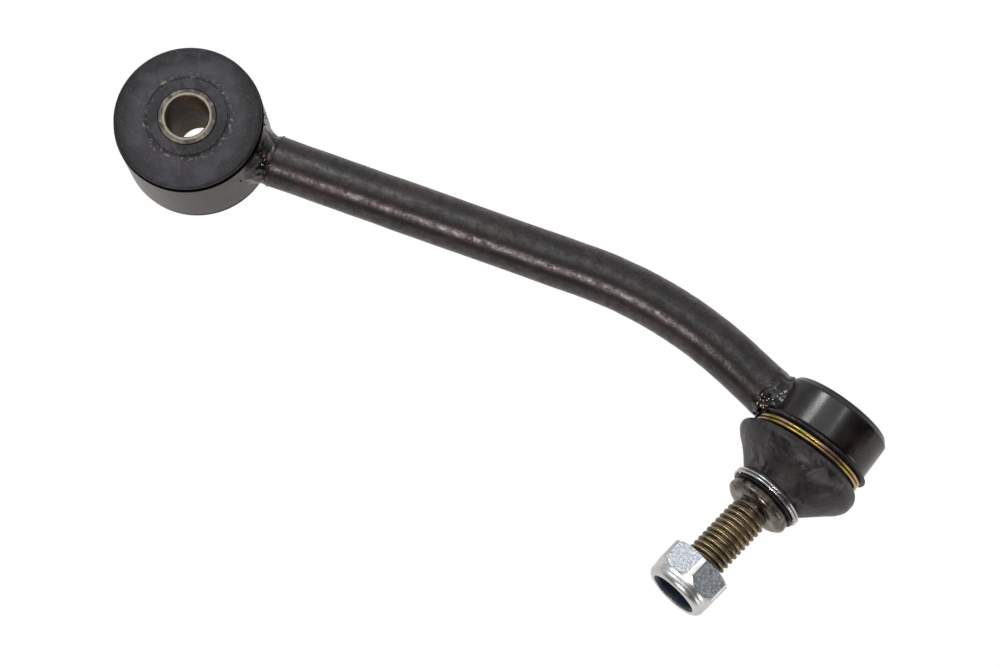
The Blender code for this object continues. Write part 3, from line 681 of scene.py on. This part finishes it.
def makeWeld(name, node, shape, centre, axis, radius, far, direction):
    # Built out from the round piece to the bar's square end: each ring starts where the
    # bead meets the curved wall, so its foot follows the wall all the way round. The bead
    # is lumpy on the side where the torch came last and calm opposite.
    side = axis.cross(direction).normalized()
    across = direction.cross(side).normalized()
    waist, neck, calm = shape["waist"], shape["neck"], shape["calm"]
    steps, rows = beadForm["steps"], beadForm["rows"]
    builder = bmesh.new()
    rings = []
    for row in range(-beadForm["buried"], rows + 1):
        share = max(row, 0) / rows
        width, sunk = (0.9, 0.6) if row < 0 else (1, 0.05)     # the buried rings are narrower and deeper
        swell = math.sin(math.pi * min(max(share, 0.02), 0.98)) ** shape["swell"]
        ring = []
        for step in range(steps):
            turn = math.tau * step / steps
            spoke = side * math.cos(turn) + across * math.sin(turn)
            ripple = 0.5 * math.sin(turn * 5 + 1.3) + 0.5 * math.sin(turn * 11 + 0.4)
            foot = shape["foot"] + beadForm["ripple"] * ripple - shape["slim"] * math.cos(turn) ** 2
            if share < neck:
                size = waist + (foot - waist) * (1 - share / neck) ** beadForm["flare"]
            else:
                size = waist + (shape["end"] - waist) * ((share - neck) / (1 - neck)) ** beadForm["widen"]
            size += shape["ridge"] * math.exp(-((share - beadForm["ridgeAt"]) / beadForm["ridgeWidth"]) ** 2)
            base = far + spoke * size * mm * width
            low = reachOf(base, direction, centre, axis, radius * mm - sunk * mm)
            busy = calm + (1 - calm) * (0.5 + 0.5 * math.cos(turn - math.radians(shape["rough"]))) ** 1.5
            uneven = noise.noise(around(2.2, turn, 5.0))
            top = shape["top"] + shape["ragged"] * busy * uneven
            spot = base + direction * (low + max(top * mm - low, 0) * share)
            lump = noise.fractal(spot * perMm(shape["lumpSize"]), 0.9, 2.0, 2)
            blob = max(noise.noise(spot * perMm(shape["lumpSize"] * 2.1) + Vector((3, 1, 7))), 0)
            spot += spoke * (lump * 0.5 + blob * 0.9) * shape["lumps"] * busy * swell * mm
            ring.append(builder.verts.new(clearOfBoot(spot) if shape["byBoot"] else spot))
        rings.append(ring)
    skinRings(builder, rings, closed=False)
    newPiece(name, builder, Matrix.Identity(4), weldPaint, "link", node, crease=70)


bootRoom = {"back": 0.35, "shoulder": 0.12, "lip": 15.35}


def clearOfBoot(spot):
    # the bead stops at the cup's shoulder, short of the boot's lip and its wire, and at its back edge
    local = spot - ballAt
    height = local.dot(housingAlong)
    outwards = local - housingAlong * height
    back = (cupForm["rim"] + bootRoom["back"]) * mm - max(outwards.length - cupForm["radius"] * mm, 0)
    if height < back:
        return spot + housingAlong * (back - height)
    shoulder, lip = (cupForm["shoulder"] - bootRoom["shoulder"]) * mm, bootRoom["lip"] * mm
    if height <= shoulder or outwards.length >= lip:
        return spot
    if height - shoulder < lip - outwards.length:
        return spot - housingAlong * (height - shoulder)
    return spot + outwards.normalized() * (lip - outwards.length)


spatterForm = {"beads": 13, "seed": 7, "turn": (13, 34), "radius": (0.14, 0.42), "height": (0.5, 8.6),
               "sunk": 0.8, "uneven": 0.35}


def makeSpatter():
    # small beads of weld metal thrown on the eye beside the bar, every fourth on its other side
    form = spatterForm
    builder = bmesh.new()
    dice = random.Random(form["seed"])
    for index in range(form["beads"]):
        turn = math.radians(barForm["bushLeg"] + dice.uniform(*form["turn"]) * (1 if index % 4 else -1))
        size = dice.uniform(*form["radius"]) * mm
        radius = eyeTube["outer"] * mm + size * (1 - form["sunk"])
        height = dice.uniform(*form["height"]) * mm
        spot = bushAt + around(radius, turn, height)
        made = bmesh.ops.create_icosphere(builder, subdivisions=2, radius=size, matrix=Matrix.Translation(spot))
        for vertex in made["verts"]:
            vertex.co += (vertex.co - spot) * form["uneven"] * noise.noise(vertex.co * perMm(0.5))
    newPiece("weldSpatter", builder, Matrix.Identity(4), weldPaint, "link", crease=80)


makeBar()
makeWeld("eyeWeld", "eye_weld", eyeWeldForm, bushAt, upward, eyeTube["outer"], bushAt, firstLeg)
makeWeld("housingWeld", "housing_weld", cupWeldForm, ballAt, housingAlong, cupForm["radius"], barFar, -lastLeg)
makeSpatter()

print("ball joint")

# the cup: its wall, shoulder, groove, nose, mouth, bore, the disc's seat and the rim rolled over it
cupOutline = [
    (13.8, -9.3), (13.8, -9.0), (13.8, -1.3), (13.8, -1.05), (13.7, -0.8), (13.45, -0.7), (11.9, -0.7),
    (11.9, 2.7), (12.5, 3.0), (12.5, 3.5), (9.15, 5.2), (7.75, 5.2), (7.55, 5.0), (7.55, 4.4), (8.35, 3.6),
    (10.9, 3.6), (10.9, -8.35), (11.9, -8.35), (11.9, -10.6), (10.8, -10.6), (10.75, -11.15), (11.0, -11.4),
    (12.45, -11.4), (12.75, -11.28), (13.38, -10.35), (13.46, -10.22), (13.68, -10.1), (13.77, -9.9),
]
# the closing disc, domed by a pressed ring
capOutline = [(0.4, -10.55), (3.0, -10.55), (6.4, -10.55), *arcOf(7.2, -9.95, 0.6, 255, 285, 4),
              (8.2, -10.25), (11.4, -10.25), (11.58, -10.1), (11.58, -8.7), (0.4, -8.7)]


def makeCup():
    newPiece("jointHousing", turnedSolid(cupOutline, cupForm["steps"]), housingAxes, cupPaint, "link",
             "joint_housing", crease=30)
    newPiece("housingCap", turnedSolid(capOutline, 128, closed=False), housingAxes, cupPaint, "link",
             "housing_cap")


bootForm = {"beadEnd": 3.25, "neck": 15.2, "bulge": 5.9, "slump": 0.9, "leanPower": 0.62, "lean": 6.2,
            "tip": 5.5, "steps": 200, "split": 9.2}
bootOutline = {
    "outside": [(13.05, 3.25), (14.55, 3.42), (15.55, 4.05), (16.2, 4.95), (16.35, 5.9), (16.1, 7.0),
                (15.0, 8.45), (13.35, 9.95), (11.6, 11.7), (10.1, 13.35), (9.05, 14.5), (8.6, 15.0)],
    "inside": [(7.0, 15.2), (8.2, 13.6), (10.2, 11.9), (12.0, 10.1), (13.8, 8.4), (14.9, 6.9), (15.05, 5.9),
               (14.4, 4.8), (12.8, 3.9)],
    "bead": [(12.2, -0.35), (14.6, -0.4), (14.85, -0.3), (14.95, -0.05), (14.85, 0.2), (14.6, 0.3),
             (13.1, 0.34), (13.02, 0.5), (13.02, 3.1)],
    "heel": [(12.75, 3.45), (12.75, 2.75), (12.2, 2.1)],
    "lip": [(8.5, 15.22), (8.27, 15.35), (8.27, 17.78), (8.62, 17.82), (8.76, 17.85), (8.8, 17.91),
            (8.74, 17.96), (6.52, 17.98), (6.5, 15.4)],
}


def bootPlace(spot):
    # leans the boot from the cup's axis over to the stud's and lets its bulge sag
    end, length = bootForm["beadEnd"], bootForm["neck"] - bootForm["beadEnd"]
    share = min(1.0, max(0.0, (spot.z / mm - end) / length))
    bulgeShare = (bootForm["bulge"] - end) / length
    lean = share ** bootForm["leanPower"]
    slump = bootForm["slump"] * mm * min(1.0, share / bulgeShare) * (1 - share) ** 2
    turnIn = Matrix.Rotation(-math.radians(bootForm["lean"]) * lean, 3, "X")
    turnOut = Matrix.Rotation(math.radians(bootForm["tip"]) * lean, 3, "Y")
    return turnIn @ turnOut @ (spot + Vector((0, slump, 0)))


def cutAt(spots, height, keepLower):
    # the outline's part on one side of a height, with a spot added on the height itself
    found = []
    for here, after in zip(spots, spots[1:] + [None]):
        if (here[1] <= height) == keepLower:
            found.append(here)
        if after and (here[1] - height) * (after[1] - height) < 0:
            t = (height - here[1]) / (after[1] - here[1])
            found.append((here[0] + (after[0] - here[0]) * t, height))
    return found


def makeBoot():
    outside = smoothThrough(bootOutline["outside"], 8)
    inside = smoothThrough(bootOutline["inside"], 4)
    split, steps = bootForm["split"], bootForm["steps"]
    lower = bootOutline["bead"] + cutAt(outside, split, True) + cutAt(inside, split, True) + bootOutline["heel"]
    upper = cutAt(outside, split, False) + bootOutline["lip"] + cutAt(inside, split, False)
    foot, neck = (
        newPiece(name, turnedSolid(outline, steps, bootPlace), housingAxes, bootRubberFinish, None, "dust_boot")
        for name, outline in (("bootSkirt", lower), ("bootNeck", upper))
    )
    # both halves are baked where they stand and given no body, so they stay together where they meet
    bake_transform(foot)
    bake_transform(neck)


clampForm = {"radius": 14.05, "height": 1.79, "wire": 0.455, "pitch": 1.02, "shift": 0.5, "turns": 1.75,
             "sides": 16}
neckForm = {"radius": 9.0, "height": 16.7, "wire": 0.35, "pitch": 0.82, "shift": 0.0, "turns": 1.75,
            "sides": 16}


def makeWireRing(name, node, shape, axes, finish, body):
    path = []
    steps = 420
    for step in range(steps + 1):
        turn = shape["turns"] * (step / steps - 0.5)
        angle = math.tau * (turn + 0.5)
        spot = Vector((shape["radius"] * math.cos(angle), shape["radius"] * math.sin(angle) + shape["shift"],
                       shape["height"] + shape["pitch"] * turn))
        path.append(spot * mm)

    def wireAt(share):
        # the cut ends are rounded off over two rings
        end = min(share, 1 - share) * steps
        return shape["wire"] * mm * (1.0 if end >= 2 else 0.55 + 0.225 * end)

    builder = sweptAlong(path, wireAt, shape["sides"], path[0].normalized())
    newPiece(name, builder, axes, finish, body, node)


makeCup()
makeBoot()
makeWireRing("bootClampRing", "boot_clamp_ring", clampForm, housingAxes, clampFinish, "link")
makeWireRing("bootNeckRing", "boot_neck_ring", neckForm, studAxes, neckRingFinish, "neck_ring")

print("stud and nut")

# the ball, its neck and the collar, up to the thread
studOutline = [
    *arcOf(0.0, 0.0, 8.0, -72, 55, 26), (4.5, 6.9), (4.5, 11.8), (6.2, 13.8), (6.2, 17.95), (7.6, 18.04),
    (7.95, 18.18), (8.15, 18.6), (8.32, 19.2), (8.4, 19.8), (8.36, 20.2), (8.15, 20.55), (7.5, 21.1),
    (7.0, 21.38), (6.7, 21.445), (5.3, 21.445), (5.15, 21.4), (4.4, 21.1), (4.15, 21.2), (4.08, 21.5),
]
threadForm = {"pitch": 1.5, "crest": 4.94, "root": 4.08, "start": 22.1, "tip": 44.745, "chamfer": 0.95,
              "fadeIn": 1.3, "scuff": 0.02, "least": 3.6, "steps": 120}
threadShape = [(0.0, 0.0), (0.08, 0.0), (0.23, 0.44), (0.38, 0.88), (0.42, 0.97), (0.45, 1.0), (0.62, 1.0),
               (0.65, 0.97), (0.69, 0.88), (0.85, 0.44)]     # share of the pitch, share of the thread's depth
nickForm = {"radius": 4.9, "radians": -0.55, "height": 33.2, "reach": 0.95, "depth": 0.6}


def makeStud():
    builder = bmesh.new()
    steps = threadForm["steps"]
    lower = [ringOf(builder, r * mm, h * mm, steps) for r, h in studOutline]
    start, tip, pitch = threadForm["start"], threadForm["tip"], threadForm["pitch"]
    depth = threadForm["crest"] - threadForm["root"]
    nick = around(nickForm["radius"], nickForm["radians"], nickForm["height"])
    windings = int((tip - start) / pitch) + 3
    perTurn = len(threadShape)
    columns = []
    for step in range(steps + 1):
        turn = math.tau * step / steps
        column = []
        for index in range(windings * perTurn):
            share, rise = threadShape[index % perTurn]
            height = start - pitch * 1.2 + pitch * (index // perTurn + share + step / steps)
            height = min(max(height, start), tip)
            fade = min(1.0, (height - start) / threadForm["fadeIn"])
            radius = threadForm["root"] + depth * rise * fade
            radius = min(radius, threadForm["crest"] - max(0.0, threadForm["chamfer"] - (tip - height)))
            spot = around(radius, turn, height)
            dent = max(0.0, 1 - (spot - nick).length / nickForm["reach"]) * nickForm["depth"]
            scuff = threadForm["scuff"] * noise.noise(spot * 3.1) * fade * min(1.0, (tip - height) / 0.5)
            radius = max(radius - dent + scuff * rise, threadForm["least"])
            column.append(builder.verts.new(around(radius, turn, height) * mm))
        columns.append(column)
    for here, after in zip(columns, columns[1:]):
        for index in range(len(here) - 1):
            builder.faces.new((here[index], after[index], after[index + 1], here[index + 1]))
    skinRings(builder, lower, closed=False)
    caps = [face for face in builder.faces if len(face.verts) == steps]
    upper = max(caps, key=lambda face: face.calc_center_median().z)     # closed again by closeEnds
    bmesh.ops.delete(builder, geom=[upper], context="FACES_ONLY")
    bmesh.ops.remove_doubles(builder, verts=builder.verts, dist=2e-7)
    closeEnds(builder)
    newPiece("ballStud", builder, studAxes, studFinish, "stud", "ball_pin", crease=34)


def closeEnds(builder):
    # joins the open edge loops left between the neck and the thread, and over the tip
    loose = [edge for edge in builder.edges if edge.is_boundary]
    tip = max(vertex.co.z for vertex in builder.verts)
    over = [edge for edge in loose if min(vertex.co.z for vertex in edge.verts) > tip - 1e-6]
    between = [edge for edge in loose if edge not in over]
    bmesh.ops.bridge_loops(builder, edges=between)
    bmesh.ops.holes_fill(builder, edges=over, sides=0)


nutForm = {"acrossFlats": 16.0, "face": 39.545, "end": 49.445, "faceRadius": 7.75, "chamfer": 0.75,
           "slope": 1.73, "hexEnd": 5.5, "shoulder": 9.25, "collar": 7.95, "collarStart": 7.05,
           "corner": 9.02, "blunt": 0.12, "flatEnd": 8.90, "turn": -4.0, "steps": 240}
# radii at depths in from the collar's end: its lip, and the room for the nylon ring under it
nutLip = [(6.3, 0.01), (6.16, 0.05), (6.05, 0.11), (5.98, 0.20), (5.96, 0.42), (6.9, 0.42), (6.9, 3.3),
          (5.6, 3.3), (5.25, 3.7)]


def nutLimit(depth):
    # the round shape the hexagon is cut from: a chamfer, the shoulder and the domed collar
    shape = nutForm
    if depth < shape["chamfer"]:
        return shape["faceRadius"] + depth * shape["slope"]
    if depth < shape["hexEnd"]:
        return 12.0     # well outside the hexagon
    if depth < shape["collarStart"]:
        t = (depth - shape["hexEnd"]) / (shape["collarStart"] - shape["hexEnd"])
        return shape["shoulder"] + (shape["collar"] - shape["shoulder"]) * t ** 0.8
    t = (depth - shape["collarStart"]) / (shape["end"] - shape["face"] - shape["collarStart"])
    crimp = 0.10 * math.exp(-((t - 0.34) / 0.045) ** 2)     # the line where the collar was rolled over the ring
    dome = 1 - math.sqrt(max(0.0, 1 - max(0.0, (t - 0.42) / 0.58) ** 2))
    return shape["collar"] - 0.1 * t - crimp - 1.4 * dome


def hexRadius(turn):
    sixth = math.pi / 3
    sharp = nutForm["acrossFlats"] / 2 / math.cos(turn % sixth - sixth / 2)
    corner, blunt = nutForm["corner"], nutForm["blunt"]
    if sharp < corner - blunt:
        return sharp
    return corner - 0.03 - 0.09 * math.exp(-(sharp - corner + blunt) / 0.07)


def makeNut():
    shape = nutForm
    total, hexEnd, collarStart = shape["end"] - shape["face"], shape["hexEnd"], shape["collarStart"]
    fine = 1.4     # rings lie close down to here, where the chamfer cuts the corners
    depths = [0.0, 0.02] + [0.04 * step for step in range(2, 34)]
    depths += [fine + (hexEnd - fine) * step / 10 for step in range(11)]
    depths += [hexEnd + (collarStart - hexEnd) * step / 26 for step in range(1, 27)]
    depths += [collarStart + (total - collarStart) * (1 - (1 - step / 22) ** 2) for step in range(1, 23)]
    builder = bmesh.new()
    layer = builder.verts.layers.float.new("flatPart")     # 1 on the pressed flats, 0 where it was turned
    rings = []
    for depth in depths:
        limit = nutLimit(depth)
        ring = ringOf(builder, lambda turn: min(hexRadius(turn), limit) * mm, (shape["face"] + depth) * mm,
                      shape["steps"])
        for step, vertex in enumerate(ring):
            turn = math.tau * step / shape["steps"]
            sharp = shape["acrossFlats"] / 2 / math.cos(abs((turn % (math.pi / 3)) - math.pi / 6))
            fromEdge = min((limit - hexRadius(turn)) / 0.12, (shape["flatEnd"] - sharp) / 0.07)
            vertex[layer] = min(1.0, max(0.0, fromEdge))
        rings.append(ring)
    inner = [(radius, total - inwards) for radius, inwards in nutLip] + [(5.25, 0.7), (5.9, 0.0)]
    for radius, depth in inner:
        rings.append(ringOf(builder, radius * mm, (shape["face"] + depth) * mm, shape["steps"]))
    skinRings(builder, rings, closed=True)
    turned = studAxes @ Matrix.Rotation(math.radians(shape["turn"]), 4, "Z")
    newPiece("lockNut", builder, turned, nutFinish, "nut", "hex_nut", crease=24)


# the nylon ring's radii, at depths in from the collar's end
insertOutline = [(6.6, 2.95), (6.6, 0.45), (5.8, 0.45), (5.5, 0.57), (5.32, 0.85), (5.25, 1.45), (5.25, 2.95)]


def makeInsert():
    outline = [(radius, nutForm["end"] - depth) for radius, depth in insertOutline]
    newPiece("nutInsert", turnedSolid(outline, 128), studAxes, nylonFinish, "insert", "nut_insert")


makeStud()
makeNut()
makeInsert()

seat = frame["nodes"]["ball_seat"]
seat.data.materials.clear()
seat.data.materials.append(acetalFinish)

print("floor, light and camera")

# the camera fitted to the photograph: its axes, and where it sees the bush's middle
view = {"lens": 93.6, "sensor": 36.0,
        "right": (0.8877, 0.4596, -0.0281), "up": (-0.4391, 0.8634, 0.2485), "back": (0.1385, -0.2083, 0.9682),
        "bush": (-75.53, 49.61, -641.67)}
lookAxes = Matrix((view["right"], view["up"], view["back"])).transposed()
cameraAt = bushAt - lookAxes @ Vector(view["bush"]) * mm
cameraData = bpy.data.cameras.new("camera")
cameraData.lens = view["lens"]
cameraData.sensor_width = view["sensor"]
cameraData.sensor_fit = "HORIZONTAL"
cameraData.clip_start = 0.01
camera = addObject("camera", cameraData)
camera.matrix_world = Matrix.Translation(cameraAt) @ lookAxes.to_4x4()
bpy.context.scene.camera = camera


# half is metres; glow is how bright the paper looks, and glowShare how much of that is its own light
floorForm = {"half": 3.0, "glow": 1.04, "glowShare": 0.93, "mirrored": (0.88, 0.85, 0.83, 1.0), "drop": 0.2}


def makeFloor():
    material, tree, paper = newFinish("whitePaper", "#f4f4f4", 0.9)[:3]
    path = addNode(tree, "ShaderNodeLightPath")
    seenAs = mixed(tree, path.outputs["Is Glossy Ray"], (1.0, 1.0, 1.0, 1.0), floorForm["mirrored"])
    glow = addNode(tree, "ShaderNodeEmission", {"Strength": floorForm["glow"]}, {"Color": seenAs})
    seen = reckon(tree, "MAXIMUM", path.outputs["Is Camera Ray"],
                  reckon(tree, "MAXIMUM", path.outputs["Is Glossy Ray"], path.outputs["Is Transmission Ray"]))
    share = times(tree, seen, floorForm["glowShare"])
    both = addNode(tree, "ShaderNodeMixShader", links={0: share, 1: paper.outputs[0], 2: glow.outputs[0]})
    tree.links.new(both.outputs[0], tree.nodes["Material Output"].inputs["Surface"])
    builder = bmesh.new()
    bmesh.ops.create_grid(builder, x_segments=1, y_segments=1, size=floorForm["half"])
    under = Matrix.Translation((0, 0, cadBox[0][2] - floorForm["drop"] * mm))
    floor = newPiece("paperFloor", builder, under, material, None)


def makeWorld():
    # a dim room, lighter beyond the object and dark on the camera's side
    world = bpy.data.worlds.new("studio")
    bpy.context.scene.world = world
    world.use_nodes = True
    tree = world.node_tree
    beyond = alongLine(tree, addNode(tree, "ShaderNodeTexCoord").outputs["Generated"], view["up"])
    share = reckon(tree, "ADD", times(tree, beyond, 0.5), 0.5)
    shade = stops(tree, share, (0.46, "#484a4d"), (0.62, "#b9bdc2"), (0.85, "#e9edf2"))
    tree.links.new(shade, tree.nodes["Background"].inputs["Color"])
    tree.nodes["Background"].inputs["Strength"].default_value = 0.80


# toward is right, up and back from the object as the camera sees it; distance and size are metres
lamps = {
    "overhead": {"toward": (0.08, 0.42, 0.90), "distance": 0.9, "size": (0.8, 0.55), "watts": 1.3},
    "behind": {"toward": (-0.29, 0.73, 0.57), "distance": 0.9, "size": (0.28, 0.22), "watts": 2.4},
    "front": {"toward": (-0.39, -0.43, 0.815), "distance": 0.9, "size": (0.09, 0.05), "watts": 3.6,
              "tint": "#fff0ee"},
    "beside": {"toward": (0.35, 0.33, 0.87), "distance": 0.9, "size": (0.12, 0.12), "watts": 0.18},
    "right": {"toward": (0.80, -0.55, 0.25), "distance": 1.0, "size": (0.3, 0.4), "watts": 1.4},
}


def makeLamps():
    middle = Vector((0, 0, 0.01))
    for name, lamp in lamps.items():
        light = bpy.data.lights.new(name, "AREA")
        light.shape = "RECTANGLE"
        light.size, light.size_y = lamp["size"]
        light.energy = lamp["watts"]
        light.color = colour(lamp.get("tint", "#ffffff"))[:3]
        toward = (lookAxes @ Vector(lamp["toward"])).normalized()
        holder = addObject(name, light)
        holder.location = middle + toward * lamp["distance"]
        holder.rotation_euler = toward.to_track_quat("Z", "Y").to_euler()


makeFloor()
makeWorld()
makeLamps()
bpy.context.scene.view_settings.view_transform = "Standard"
